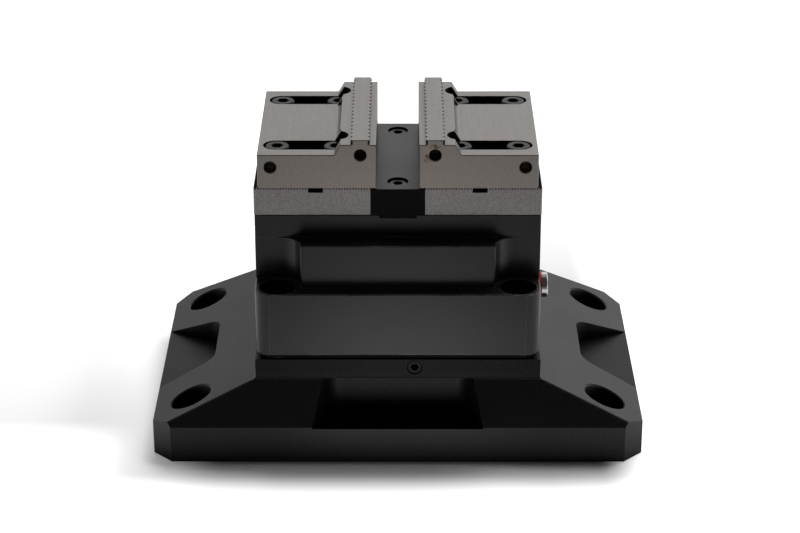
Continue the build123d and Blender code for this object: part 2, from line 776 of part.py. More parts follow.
def relief_foot():
    """The concave quarter round at the foot of the relief."""
    x = relief_wall + relief_radius
    z = step_height + relief_radius
    square = block(relief_wall, x, -half_jaw, half_jaw, step_height, z)
    return square - bar_along_y(relief_radius, x, -half_jaw, half_jaw, z)


def obround(width, x0, x1, y, z0, z1):
    """An upright slot with round ends, from x0 to x1."""
    outline = SlotOverall(x1 - x0, width)
    return Pos((x0 + x1) / 2, y, z0) * extrude(outline, z1 - z0)


def bar_notches():
    """V-notches down both long sides of the gripping bar, spread evenly over its length."""
    cuts = []
    half = bar_notch_width / 2
    gaps = round(jaw_width / bar_notch_pitch)
    for i in range(gaps + 1):
        y = -half_jaw + i * jaw_width / gaps
        for face, inward in ((bar_inner, bar_notch_depth), (bar_outer, -bar_notch_depth)):
            notch = [(face, y - half), (face + inward, y), (face, y + half)]
            cuts.append(plan_prism(notch, ledge_height, bar_height))
    return cuts


def top_jaw():
    """The right top jaw, keyed to the base jaw by its serrations."""
    jaw = top_jaw_blank()
    added, removed = slope_relief()
    jaw += added
    jaw -= removed
    jaw -= serration_teeth(top_jaw_inner, top_jaw_outer, 0.0, 1, top_tooth_height)
    slot_step = (slot_width - slot_through_width) / 2
    through_start = slot_inner_end + slot_step
    through_end = slot_outer_end - slot_step
    below = joint_height - overrun
    for y in (-slot_y, slot_y):
        jaw -= obround(slot_width, slot_inner_end, slot_outer_end, y, slot_floor_height, bar_height)
        jaw -= obround(slot_through_width, through_start, through_end, y, below, slot_floor_height)
    stop_depth = slot_side_distance - slot_width / 2 - stop_hole_wall
    stop_x = top_jaw_outer - stop_hole_end_distance
    bar_x = (bar_inner + bar_outer) / 2
    for side in (-1, 1):
        jaw -= side_hole(stop_x, step_height - stop_hole_drop, side, stop_depth)
        jaw -= side_hole(bar_x, bar_height - bar_hole_drop, side, bar_hole_depth)
    for cut in bar_notches():
        jaw -= cut
    return jaw


def side_hole(x, z, side, depth):
    """A countersunk tapped hole in the front (-1) or back (1) of a top jaw."""
    face = side * half_jaw
    bottom = face - side * depth
    hole = bar_along_y(stop_hole_radius, x, min(face, bottom), max(face, bottom), z)
    mouth = Cone(stop_hole_radius, stop_hole_radius + stop_hole_chamfer, stop_hole_chamfer)
    middle = face - side * stop_hole_chamfer / 2
    return hole + Pos(x, middle, z) * Rot(-90 * side, 0, 0) * mouth


def jaw_screws():
    """The right jaw's four cap screws."""
    screw = cap_screw(m8_screw, slot_floor_height - jaw_screw_tip)
    return [Pos(x, y, slot_floor_height) * screw for x, y in jaw_screw_places()]


def centre_cover():
    """The cover between the base jaws, with its tongue in the housing's cross groove."""
    half = centre_cover_half_length
    cover = block(-half, half, -half_jaw, half_jaw, base_jaw_underside, centre_cover_top)
    cover = chamfer(cover.edges().group_by(Axis.Z)[-1], fine_edge_break)
    tongue = tongue_length / 2
    cover += block(-tongue, tongue, -half_jaw, half_jaw, tongue_bottom, base_jaw_underside)
    head = m6_screw["head"] + centre_screw_head_clearance
    for y in (-centre_screw_y, centre_screw_y):
        cover -= post(head, 0, y, centre_screw_seat, centre_cover_top)
        cover -= post(clearance_hole(m6_screw), 0, y, tongue_bottom, centre_screw_seat)
    return cover


def centre_cover_screws():
    """The centre cover's two cap screws."""
    tip = way_foot_top + 2 * thread_run_out
    screw = cap_screw(m6_screw, centre_screw_seat - tip)
    return [Pos(0, y, centre_screw_seat) * screw for y in (-centre_screw_y, centre_screw_y)]


def body_mounting_screws():
    """The four cap screws that hold the housing to the riser."""
    screw = cap_screw(m12_screw, body_screw_length)
    return [Pos(x, y, body_screw_seat) * screw for x, y in corners(body_screw_x, body_screw_y)]


def centring_sleeves():
    """The two sleeves that centre the housing on the riser."""
    low = riser_height - sleeve_length / 2
    high = riser_height + sleeve_length / 2
    return [ring(sleeve_radius, sleeve_bore, x, y, low, high) for x, y in sleeve_places]


def transfer_seals():
    """The O-rings at the two air passages between riser and housing."""
    outer = transfer_ring_radius
    top = riser_height + transfer_ring_height
    places = [(gallery_x, lower_transfer_y), (-gallery_x, upper_transfer_y)]
    return [ring(outer, transfer_ring_bore, x, y, riser_height, top) for x, y in places]


def port_plugs():
    """The plugs in the side ports: a round head with a hexagon socket on a short stud."""
    plugs = []
    stud_start = half_body - port_stud_length
    head_start = half_body + port_seal_thickness
    head_end = head_start + port_head_thickness
    hexagon = RegularPolygon(port_hexagon / 2, 6, major_radius=False)
    for y, z in port_places:
        head = bar_along_x(port_head_radius, head_start, head_end, y, z)
        head = chamfer(head.edges().group_by(Axis.X)[-1], edge_break)
        stud = bar_along_x(port_radius - screw_clearance, stud_start, head_start, y, z)
        socket = Pos(head_end, y, z) * Rot(0, 90, 0) * extrude(hexagon, -port_hexagon_depth)
        plugs.append(head + stud - socket)
    return plugs


def port_seals():
    """The sealing rings under the port plugs."""
    end = half_body + port_seal_thickness
    seals = []
    for y, z in port_places:
        outer = bar_along_x(port_seal_radius, half_body, end, y, z)
        seals.append(outer - bar_along_x(port_radius, half_body, end, y, z))
    return seals


def gallery_plugs():
    """The socket plug in the riser's front face and the one in the housing's back."""
    plug = post(gallery_plug_radius - screw_clearance, 0, 0, -gallery_plug_length, 0)
    plug = chamfer(plug.edges().group_by(Axis.Z)[-1], gallery_plug_chamfer)
    hexagon = RegularPolygon(gallery_plug_hexagon / 2, 6, major_radius=False)
    plug -= extrude(hexagon, -gallery_plug_socket)
    front_y = -top_block_front + gallery_plug_recess
    back_y = flange_width / 2 - gallery_plug_recess
    front = Pos(gallery_x, front_y, gallery_z) * Rot(90, 0, 0) * plug
    back = Pos(-gallery_x, back_y, upper_port_z) * Rot(-90, 0, 0) * plug
    return [front, back]


right_base_jaw = base_jaw()
right_top_jaw = top_jaw()
right_jaw_screws = Compound(children=jaw_screws())

nodes = {
    "riser_base": riser_base(),
    "gallery_plugs": Compound(children=gallery_plugs()),
    "vise_body": vise_body(),
    "body_mounting_screws": Compound(children=body_mounting_screws()),
    "centring_sleeves": Compound(children=centring_sleeves()),
    "transfer_seals": Compound(children=transfer_seals()),
    "cylinder_cover": cylinder_cover(),
    "cylinder_cover_seal": cover_seal(),
    "cylinder_cover_screws": Compound(children=cylinder_cover_screws()),
    "piston": piston(),
    "piston_seal": piston_ring(piston_seal_depth, piston_seal_bottom, piston_seal_height),
    "piston_guide_ring": piston_ring(guide_ring_depth, guide_ring_bottom, guide_ring_height),
    "piston_screw": piston_screw(),
    "wedge_hook": wedge_hook(),
    "rod_seal": rod_seal(),
    "base_jaw_left": mirrored(right_base_jaw),
    "base_jaw_right": right_base_jaw,
    "top_jaw_left": mirrored(right_top_jaw),
    "top_jaw_right": right_top_jaw,
    "jaw_screws_left": mirrored(right_jaw_screws),
    "jaw_screws_right": right_jaw_screws,
    "centre_cover": centre_cover(),
    "centre_cover_screws": Compound(children=centre_cover_screws()),
    "port_plugs": Compound(children=port_plugs()),
    "port_seals": Compound(children=port_seals()),
}

os.makedirs("parts", exist_ok=True)
for name, solid in nodes.items():
    export_step(solid, f"parts/{name}.step")
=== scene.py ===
import math

import bpy
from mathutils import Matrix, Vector

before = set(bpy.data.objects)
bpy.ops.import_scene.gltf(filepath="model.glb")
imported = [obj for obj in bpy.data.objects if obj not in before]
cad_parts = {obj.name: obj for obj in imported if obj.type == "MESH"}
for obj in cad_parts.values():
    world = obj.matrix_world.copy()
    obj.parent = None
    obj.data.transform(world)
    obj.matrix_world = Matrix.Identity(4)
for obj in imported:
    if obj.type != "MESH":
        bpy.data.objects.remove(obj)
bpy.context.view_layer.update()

# The dressed self-centring vise. Sizes are in metres, in the part's own frame:
# X runs along the jaws' travel, Y to the back and Z up.

# Camera: place, tilt below the horizon and focal length in pixels of the 800 pixel wide photo
camera_place = (0.0020, -1.2238, 0.6308)
camera_tilt = math.radians(24.27)
camera_turn = math.radians(0.04)
focal_pixels = 2363.3
photo_width = 800
sensor_width = 36.0
camera_reach = 20.0

# Floor. The glow, clear, fade and shade values shape the floor that the camera sees, by distance from the
# object's centre or its edge:
# painted light that it gives off round the object's shadow, and a painted shadow at its right front. The
# table values shape the floor that the object reflects, with painted light and painted shade.
floor_half = 2.5
floor_colour = 0.80
floor_shown_colour = 0.85
floor_glow = 0.80
glow_left = 0.22
glow_left_front = 0.80
glow_right = 0.80
glow_back = 0.30
glow_far = 0.10
footprint_half_length = 0.1345
footprint_half_width = 0.0858
shadow_start = 0.0115
shadow_end = 0.040
right_clear_start = 0.110
right_clear_end = 0.140
# A painted shadow on the floor's right front: where it starts and ends and how much of the floor's colour it
# leaves
right_shade_start = 0.045
right_shade_end = 0.085
right_shade = 0.68
left_clear_start = 0.095
left_clear_end = 0.135
left_fade_start = 0.140
left_fade_end = 0.185
left_front_start = 0.035
left_front_end = 0.075
back_clear_start = 0.12
back_clear_end = 0.35
far_clear_start = 0.02
far_clear_end = 0.10
shadow_side_stretch = 1.3
# The floor that the object reflects: painted shade far ahead and towards the sides
table_front = -0.215
table_dark = -0.315
table_dark_level = 0.30
table_side_share = 0.50
table_centre_half = 0.015
table_side_half = 0.085

# Room: its levels, its left and right shares and the limits of its bright wall, as parts of the
# unit direction
world_front_level = 0.04
world_horizon_level = 0.45
world_back_level = 1.0
world_top_level = 0.40
world_left_share = 0.78
world_right_share = 1.18
wall_front_edge = -0.25
wall_full = 0.55
wall_bright_low = 0.30
wall_bright_high = 0.50
wall_end = 0.85
wall_side = 0.4

# Softbox
softbox_place = (0.34, 0.60, 1.22)
softbox_target = (0.0, 0.0, 0.05)
softbox_size = (1.3, 0.9)
softbox_power = 24.0

# The two stains by the right top jaw's hole beside the gripping bar: each one's place from the
# hole's centre, sideways and upward, then its half width and half height
stain_left = (-0.0042, -0.0018, 0.0026, 0.0030)
stain_top = (0.0004, 0.0050, 0.0040, 0.0018)
stain_colour = (0.16, 0.085, 0.035, 1.0)
stain_full = 0.2
blotch_scale = 420.0
blotch_low = 0.40
blotch_high = 0.62
stained_face_start = -0.048
stained_face_full = -0.0495

# Jaws, for the painted shade in the slots, notches, grooves, reliefs and holes and the painted light low in
# the holes: distances from the centre planes and heights.
# The groove shift is in pitches: its half puts the grooves between the teeth.
joint_height = 0.1475
tooth_depth = 0.0007
keyway_centre_x = 0.04425
serration_pitch = 0.0015
groove_shift = 1000.5
groove_half_width = 0.00036
groove_bottom = 0.14675
groove_top = 0.14765
step_height = 0.16664
ledge_height = 0.1724
jaw_half_width = 0.0499
bar_hole_x = 0.02005
bar_hole_z = 0.1665
stop_hole_x = 0.0684
stop_hole_z = 0.1596
hole_radius = 0.0037
relief_inner_x = 0.0309
relief_outer_x = 0.0334
relief_half_width = 0.0262
slot_centre_y = 0.035
slot_half_width = 0.0068
slot_inner_x = 0.0262
slot_outer_x = 0.0730
slot_depth_start = 0.0006
notch_start = 0.0001
relief_low_gap = 0.0002
relief_high_gap = 0.0005
# How dark the painted shade leaves the recesses and the reliefs
recess_level = 0.10
relief_level = 0.6
# Painted light low in the side holes and painted shade in the rest of them
hole_light_full = -0.0030
hole_light_end = -0.0012
hole_light_level = 1.3
hole_dark_level = 0.25

# The painted highlight along the foot of the housing's middle boss
boss_half_length = 0.0545
boss_foot_low = 0.0949
boss_foot_high = 0.0955

# The witness lines on the flange's front, where its rounded corners start
witness_x = 0.0694
witness_half_width = 0.00012
witness_y = -0.0715
flange_foot_height = 0.057
flange_top_height = 0.0945
# line_level is the colour of these lines and of the painted highlight at the boss's foot
line_level = 0.10
line_noise_scale = 130.0

# Facing limits, as parts of the unit normal
top_facing_start = 0.88
top_facing_full = 0.98
front_facing_start = -0.94
front_facing_full = -0.99
steel_front_start = -0.80
steel_front_full = -0.98
not_up_limit = 0.3
upright_limit = 0.5
askew_low = 0.3
askew_high = 0.9
edge_start = 0.995
edge_full = 0.95

# Noise: the share of its range that is used
noise_low = 0.3
noise_high = 0.7
wide_noise_low = 0.25
wide_noise_high = 0.75

# Black finishes: noise scales are per metre, depths and spacings in metres
cloud_scale = 35.0
cloud_dark = 0.6
cloud_light = 1.4
cloud_dark_warmth = 0.02
cloud_light_warmth = -0.04
fine_scale = 2600.0
dust_spacing = 0.006
dust_level = 0.16
dust_warmth = 0.04
speck_size = 0.00022
# The painted glints: their spacing and share
glint_spacing = 0.0008
glint_share = 0.35
# The painted edge highlights: their faintest share and the noise level where they are full
faintest_edge_highlight = 0.4
edge_patch_noise_high = 0.6
black_roughness_swing = 0.05
black_bump_depth = 0.00004
low_front_top = 0.03
high_front_bottom = 0.05

# Steel
steel_cloud_scale = 28.0
steel_cloud_lift = 1.08
streak_scales = (900.0, 18.0, 900.0)
grain_scales = (500.0, 900.0, 2200.0)
steel_roughness_swing = 0.06
steel_bump_depth = 0.00003
steel_bump_strength = 0.5

# Plain metals, rubber and plastic
metal_cloud_scale = 220.0
metal_fine_scale = 2200.0
metal_cloud_dark = 0.82
metal_roughness_swing = 0.07
metal_edge = 0.0003
metal_bump_depth = 0.00002
soft_cloud_scale = 400.0
soft_fine_scale = 3000.0
soft_cloud_dark = 0.6
soft_smoother = 0.05
soft_rougher = 0.1
soft_bump_depth = 0.00003
soft_bump_strength = 0.4


def add_node(tree, kind, **inputs):
    """Adds a shader node. A keyword names an input socket, with _ for a space, and sets or links it."""
    made = tree.nodes.new(kind)
    for name, value in inputs.items():
        socket = made.inputs[name.replace("_", " ")]
        if isinstance(value, bpy.types.NodeSocket):
            tree.links.new(value, socket)
        else:
            socket.default_value = value
    return made


def math_node(tree, operation, first, second=0.0):
    """One arithmetic step between values or sockets."""
    made = tree.nodes.new("ShaderNodeMath")
    made.operation = operation
    for socket, value in zip(made.inputs, (first, second)):
        if isinstance(value, bpy.types.NodeSocket):
            tree.links.new(value, socket)
        else:
            socket.default_value = value
    return made.outputs[0]


def map_range(tree, value, low, high, to_low=0.0, to_high=1.0, smooth=True):
    """Maps a value between two limits, smoothly or in a straight line."""
    made = tree.nodes.new("ShaderNodeMapRange")
    made.interpolation_type = "SMOOTHSTEP" if smooth else "LINEAR"
    tree.links.new(value, made.inputs["Value"])
    made.inputs["From Min"].default_value = low
    made.inputs["From Max"].default_value = high
    made.inputs["To Min"].default_value = to_low
    made.inputs["To Max"].default_value = to_high
    return made.outputs["Result"]


def mix_colours(tree, factor, first, second):
    """Blends two colours, each a value or a socket."""
    made = tree.nodes.new("ShaderNodeMix")
    made.data_type = "RGBA"
    for socket, value in ((made.inputs[0], factor), (made.inputs[6], first), (made.inputs[7], second)):
        if isinstance(value, bpy.types.NodeSocket):
            tree.links.new(value, socket)
        else:
            socket.default_value = value
    return made.outputs[2]


def grey(level, warmth=0.0):
    """An opaque grey: positive warmth is browner, negative is bluer."""
    return (level * (1 + warmth), level, level * (1 - warmth), 1.0)


def scaled_colour(colour, factor):
    """An opaque colour, made lighter or darker."""
    return tuple(part * factor for part in colour[:3]) + (1.0,)


def new_material(name):
    """A material with an empty node tree, its Principled shader and its object coordinates."""
    material = bpy.data.materials.new(name)
    material.use_nodes = True
    tree = material.node_tree
    tree.nodes.clear()
    output = tree.nodes.new("ShaderNodeOutputMaterial")
    shader = tree.nodes.new("ShaderNodeBsdfPrincipled")
    tree.links.new(shader.outputs[0], output.inputs[0])
    place = tree.nodes.new("ShaderNodeTexCoord").outputs["Object"]
    return material, tree, shader, place


def stretched(tree, place, scale):
    """The coordinates, scaled by a different number along each axis."""
    made = tree.nodes.new("ShaderNodeMapping")
    tree.links.new(place, made.inputs["Vector"])
    made.inputs["Scale"].default_value = scale
    return made.outputs[0]


def noise(tree, place, scale, detail=3.0, roughness=0.55):
    """Soft noise from 0 to 1."""
    made = add_node(tree, "ShaderNodeTexNoise", Vector=place, Scale=scale, Detail=detail, Roughness=roughness)
    return made.outputs["Fac"]


def bump(tree, height, depth, strength, normal=None):
    """A normal that follows a height."""
    made = add_node(tree, "ShaderNodeBump", Height=height, Distance=depth, Strength=strength)
    if normal:
        tree.links.new(normal, made.inputs["Normal"])
    return made.outputs[0]


def rounded_edges(tree, radius):
    """A normal with softly broken edges."""
    made = tree.nodes.new("ShaderNodeBevel")
    made.samples = 4
    made.inputs["Radius"].default_value = radius
    return made.outputs[0]


def dust(tree, place, spacing, size, share):
    """A mask of sparse small specks."""
    cells = add_node(tree, "ShaderNodeTexVoronoi", Vector=place, Scale=1 / spacing, Randomness=1.0)
    near = math_node(tree, "LESS_THAN", cells.outputs["Distance"], size / spacing)
    chosen = tree.nodes.new("ShaderNodeSeparateColor")
    tree.links.new(cells.outputs["Color"], chosen.inputs[0])
    kept = math_node(tree, "LESS_THAN", chosen.outputs[0], share)
    return math_node(tree, "MULTIPLY", near, kept)


def between(tree, value, low, high):
    """1 where a value lies between two limits, else 0."""
    above = math_node(tree, "GREATER_THAN", value, low)
    below = math_node(tree, "LESS_THAN", value, high)
    return math_node(tree, "MULTIPLY", above, below)


def by_facing(tree, side, up, front):
    """A value that differs between upward faces, front faces and the rest."""
    normal = tree.nodes.new("ShaderNodeTexCoord").outputs["Normal"]
    parts = add_node(tree, "ShaderNodeSeparateXYZ", Vector=normal)
    upward = map_range(tree, parts.outputs[2], top_facing_start, top_facing_full)
    forward = map_range(tree, parts.outputs[1], front_facing_start, front_facing_full)
    level = map_range(tree, upward, 0.0, 1.0, side, up, smooth=False)
    shift = math_node(tree, "SUBTRACT", front, level)
    return math_node(tree, "ADD", level, math_node(tree, "MULTIPLY", shift, forward))


def edge_mask(tree, radius):
    """1 along the edges, 0 on the faces."""
    rounded = rounded_edges(tree, radius)
    flat = tree.nodes.new("ShaderNodeNewGeometry").outputs["True Normal"]
    dot = tree.nodes.new("ShaderNodeVectorMath")
    dot.operation = "DOT_PRODUCT"
    tree.links.new(rounded, dot.inputs[0])
    tree.links.new(flat, dot.inputs[1])
    return map_range(tree, dot.outputs["Value"], edge_start, edge_full)


def black_finish(name, level, roughness, grain, speculars, edge=0.0004, dust_share=0.10, rubbed=0.05,
                 sparkle=0.02):
    """Black oxide or anodised metal: nearly black, with a soft sheen, fine grain and dust, painted glints and
    patchy painted highlights along its edges.

    The speculars are the reflectivity of the sides, the tops and the low and high parts of the front.
    """
    material, tree, shader, place = new_material(name)
    cloud = noise(tree, place, cloud_scale, 4.0)
    fine = noise(tree, place, fine_scale, 2.0)
    specks = dust(tree, place, dust_spacing, speck_size, dust_share)
    darker = grey(level * cloud_dark, cloud_dark_warmth)
    tone = mix_colours(tree, cloud, darker, grey(level * cloud_light, cloud_light_warmth))
    # painted glints: sparse light specks in the colour
    glints = dust(tree, place, glint_spacing, speck_size, glint_share)
    glinted = mix_colours(tree, glints, tone, grey(sparkle))
    # painted highlights along the edges, patchy with the cloud noise
    edge_highlight_patches = map_range(tree, cloud, noise_low, edge_patch_noise_high, faintest_edge_highlight, 1.0)
    highlit_edges = math_node(tree, "MULTIPLY", edge_mask(tree, edge), edge_highlight_patches)
    edge_lit = mix_colours(tree, highlit_edges, glinted, grey(rubbed))
    colour = mix_colours(tree, specks, edge_lit, grey(dust_level, dust_warmth))
    tree.links.new(colour, shader.inputs["Base Color"])
    uneven = math_node(tree, "MULTIPLY_ADD", fine, 2 * black_roughness_swing)
    uneven.node.inputs[2].default_value = roughness - black_roughness_swing
    cloudy = math_node(tree, "MULTIPLY_ADD", cloud, 2 * black_roughness_swing)
    tree.links.new(uneven, cloudy.node.inputs[2])
    level_rough = math_node(tree, "SUBTRACT", cloudy, black_roughness_swing)
    tree.links.new(level_rough, shader.inputs["Roughness"])
    side, up, low_front, high_front = speculars
    height = add_node(tree, "ShaderNodeSeparateXYZ", Vector=place).outputs[2]
    front = map_range(tree, height, low_front_top, high_front_bottom, low_front, high_front)
    tree.links.new(by_facing(tree, side, up, front), shader.inputs["Specular IOR Level"])
    edges = rounded_edges(tree, edge)
    tree.links.new(bump(tree, fine, black_bump_depth, grain, edges), shader.inputs["Normal"])
    return material, tree, shader, place, colour


def housing_finish(name, *finish, **look):
    """The housing's black finish, with faint witness lines on the flange and a painted highlight along the
    boss's foot.
    """
    material, tree, shader, place, plain = black_finish(name, *finish, **look)
    parts = add_node(tree, "ShaderNodeSeparateXYZ", Vector=place)
    sideways = math_node(tree, "ABSOLUTE", parts.outputs[0])
    line = between(tree, sideways, witness_x - witness_half_width, witness_x + witness_half_width)
    tall = between(tree, parts.outputs[2], flange_foot_height, flange_top_height)
    ahead = math_node(tree, "LESS_THAN", parts.outputs[1], witness_y)
    faint = map_range(tree, noise(tree, place, line_noise_scale), 0.35, 0.65, 0.2, 0.8)
    upright_line = math_node(tree, "MULTIPLY", math_node(tree, "MULTIPLY", line, tall), ahead)
    # the painted highlight along the boss's foot
    foot = between(tree, parts.outputs[2], boss_foot_low, boss_foot_high)
    middle = math_node(tree, "LESS_THAN", sideways, boss_half_length)
    foot_highlight = math_node(tree, "MULTIPLY", foot, middle)
    mask = math_node(tree, "MAXIMUM", upright_line, foot_highlight)
    lined = mix_colours(tree, math_node(tree, "MULTIPLY", mask, faint), plain, grey(line_level))
    tree.links.new(lined, shader.inputs["Base Color"])
    return material


def steel(name, colour, front_colour, roughness, speckle_size, speckle, streak, edge=0.00008):
    """Ground and hardened steel: warm grey, speckled, with faint grinding streaks along Y, painted shade in
    the jaws' slots, notches, serrations, reliefs and holes, and painted light low in the side holes.
    """
    material, tree, shader, place = new_material(name)
    normal = tree.nodes.new("ShaderNodeTexCoord").outputs["Normal"]
    facing = add_node(tree, "ShaderNodeSeparateXYZ", Vector=normal).outputs[1]
    forward = map_range(tree, facing, steel_front_start, steel_front_full)
    shader.inputs["Metallic"].default_value = 1.0
    spots = noise(tree, place, 1 / speckle_size, 2.0, 0.6)
    contrast = map_range(tree, spots, noise_low, noise_high, 1 - speckle, 1 + speckle, smooth=False)
    cloud = noise(tree, place, steel_cloud_scale, 4.0)
    lighter = scaled_colour(colour, steel_cloud_lift)
    tint = mix_colours(tree, forward, mix_colours(tree, cloud, colour, lighter), front_colour)
    lines = noise(tree, stretched(tree, place, streak_scales), 1.0, 3.0)
    lined = map_range(tree, lines, noise_low, noise_high, 1 - streak, 1 + streak, smooth=False)
    grain = noise(tree, stretched(tree, place, grain_scales), 1.0, 3.0)
    glinted = map_range(tree, grain, noise_low, noise_high, 1 - 2 * streak, 1 + 2 * streak, smooth=False)
    clean = math_node(tree, "MULTIPLY", contrast, math_node(tree, "MULTIPLY", lined, glinted))
    # the texture, times the painted shade in the jaws' recesses and the painted light low in their side holes
    factor = math_node(tree, "MULTIPLY", clean, painted_recess_shade(tree, place, normal))
    scaled = tree.nodes.new("ShaderNodeVectorMath")
    scaled.operation = "SCALE"
    tree.links.new(tint, scaled.inputs[0])
    tree.links.new(factor, scaled.inputs["Scale"])
    tree.links.new(scaled.outputs[0], shader.inputs["Base Color"])
    smoother, rougher = roughness - steel_roughness_swing, roughness + steel_roughness_swing
    rough = map_range(tree, spots, wide_noise_low, wide_noise_high, smoother, rougher, smooth=False)
    tree.links.new(rough, shader.inputs["Roughness"])
    edges = rounded_edges(tree, edge)
    grainy = bump(tree, spots, steel_bump_depth, steel_bump_strength, edges)
    tree.links.new(grainy, shader.inputs["Normal"])
    return material, tree, shader, place, scaled.outputs[0]


def painted_recess_shade(tree, place, normal):
    """Painted shade: a factor that is low in the jaws' slots, reliefs, holes, bar notches and serrations,
    where shade falls, and above 1 low in the side holes, for painted light on the thread.
    """
    parts = add_node(tree, "ShaderNodeSeparateXYZ", Vector=place)
    facing = add_node(tree, "ShaderNodeSeparateXYZ", Vector=normal)
    sideways = math_node(tree, "ABSOLUTE", parts.outputs[0])
    # painted shade in the slots
    along = between(tree, sideways, slot_inner_x, slot_outer_x)
    off_centre = math_node(tree, "SUBTRACT", math_node(tree, "ABSOLUTE", parts.outputs[1]), slot_centre_y)
    across = math_node(tree, "LESS_THAN", math_node(tree, "ABSOLUTE", off_centre), slot_half_width)
    not_up = math_node(tree, "LESS_THAN", facing.outputs[2], not_up_limit)
    sunk = math_node(tree, "LESS_THAN", parts.outputs[2], step_height - slot_depth_start)
    deep = math_node(tree, "MAXIMUM", not_up, sunk)
    slot = math_node(tree, "MULTIPLY", math_node(tree, "MULTIPLY", along, across), deep)
    # painted shade on the bar notches' sides
    upright = math_node(tree, "LESS_THAN", math_node(tree, "ABSOLUTE", facing.outputs[2]), upright_limit)
    askew = between(tree, math_node(tree, "ABSOLUTE", facing.outputs[1]), askew_low, askew_high)
    raised = math_node(tree, "GREATER_THAN", parts.outputs[2], ledge_height + notch_start)
    notch = math_node(tree, "MULTIPLY", math_node(tree, "MULTIPLY", upright, askew), raised)
    # painted shade in the serrations at the joint, and painted shade as dots on the grooves' mouths on the
    # front face
    behind_face = math_node(tree, "LESS_THAN", math_node(tree, "ABSOLUTE", parts.outputs[1]), jaw_half_width)
    at_joint = between(tree, parts.outputs[2], joint_height - tooth_depth, joint_height + tooth_depth)
    from_key = math_node(tree, "SUBTRACT", sideways, keyway_centre_x)
    shifted = math_node(tree, "ADD", from_key, groove_shift * serration_pitch)
    nearest = math_node(tree, "PINGPONG", shifted, serration_pitch / 2)
    groove = math_node(tree, "LESS_THAN", nearest, groove_half_width)
    at_groove = between(tree, parts.outputs[2], groove_bottom, groove_top)
    mouth = math_node(tree, "MULTIPLY", groove, at_groove)
    tooth = math_node(tree, "MAXIMUM", math_node(tree, "MULTIPLY", at_joint, behind_face), mouth)
    dark = math_node(tree, "MAXIMUM", math_node(tree, "MAXIMUM", slot, notch), tooth)
    recess = map_range(tree, dark, 0.0, 1.0, 1.0, recess_level, smooth=False)
    # painted shade in the concave reliefs
    concave = between(tree, sideways, relief_inner_x, relief_outer_x)
    inside = math_node(tree, "LESS_THAN", math_node(tree, "ABSOLUTE", parts.outputs[1]), relief_half_width)
    high = between(tree, parts.outputs[2], step_height + relief_low_gap, ledge_height - relief_high_gap)
    relief = math_node(tree, "MULTIPLY", math_node(tree, "MULTIPLY", concave, inside), high)
    relieved = map_range(tree, relief, 0.0, 1.0, 1.0, relief_level, smooth=False)
    shaded = math_node(tree, "MULTIPLY", recess, relieved)
    bar_hole = hole_shade_and_light(tree, sideways, parts, behind_face, bar_hole_x, bar_hole_z)
    stop_hole = hole_shade_and_light(tree, sideways, parts, behind_face, stop_hole_x, stop_hole_z)
    return math_node(tree, "MULTIPLY", shaded, math_node(tree, "MULTIPLY", bar_hole, stop_hole))


def sum_of_squares(tree, first, second):
    """The sum of two values' squares."""
    first_squared = math_node(tree, "MULTIPLY", first, first)
    second_squared = math_node(tree, "MULTIPLY", second, second)
    return math_node(tree, "ADD", first_squared, second_squared)


def hole_shade_and_light(tree, sideways, parts, behind_face, hole_x, hole_z):
    """A factor that paints shade into a side hole, and paints light near its bottom, where light falls on the
    thread.
    """
    across = math_node(tree, "SUBTRACT", sideways, hole_x)
    up = math_node(tree, "SUBTRACT", parts.outputs[2], hole_z)
    squares = sum_of_squares(tree, across, up)
    near = math_node(tree, "LESS_THAN", squares, hole_radius * hole_radius)
    inside = math_node(tree, "MULTIPLY", near, behind_face)
    # painted light near the hole's bottom, painted shade above it
    tone = map_range(tree, up, hole_light_full, hole_light_end, hole_light_level, hole_dark_level)
    change = math_node(tree, "MULTIPLY", math_node(tree, "SUBTRACT", tone, 1.0), inside)
    return math_node(tree, "ADD", change, 1.0)


def stain_patch(tree, across, height, offset_x, offset_z, half_width, half_height):
    """A soft-edged oval beside the hole."""
    sideways = math_node(tree, "DIVIDE", math_node(tree, "SUBTRACT", across, offset_x), half_width)
    upward = math_node(tree, "DIVIDE", math_node(tree, "SUBTRACT", height, offset_z), half_height)
    return map_range(tree, sum_of_squares(tree, sideways, upward), 1.0, stain_full)


def stained_steel(name, *finish):
    """The same steel, with brown stains by the front hole beside the gripping bar."""
    material, tree, shader, place, plain = steel(name, *finish)
    parts = add_node(tree, "ShaderNodeSeparateXYZ", Vector=place)
    across = math_node(tree, "SUBTRACT", parts.outputs[0], bar_hole_x)
    height = math_node(tree, "SUBTRACT", parts.outputs[2], bar_hole_z)
    left_patch = stain_patch(tree, across, height, *stain_left)
    top_patch = stain_patch(tree, across, height, *stain_top)
    around = math_node(tree, "MAXIMUM", left_patch, top_patch)
    blotches = map_range(tree, noise(tree, place, blotch_scale, 4.0), blotch_low, blotch_high)
    front = map_range(tree, parts.outputs[1], stained_face_start, stained_face_full)
    mask = math_node(tree, "MULTIPLY", math_node(tree, "MULTIPLY", around, blotches), front)
    stained = mix_colours(tree, mask, plain, stain_colour)
    tree.links.new(stained, shader.inputs["Base Color"])
    return material


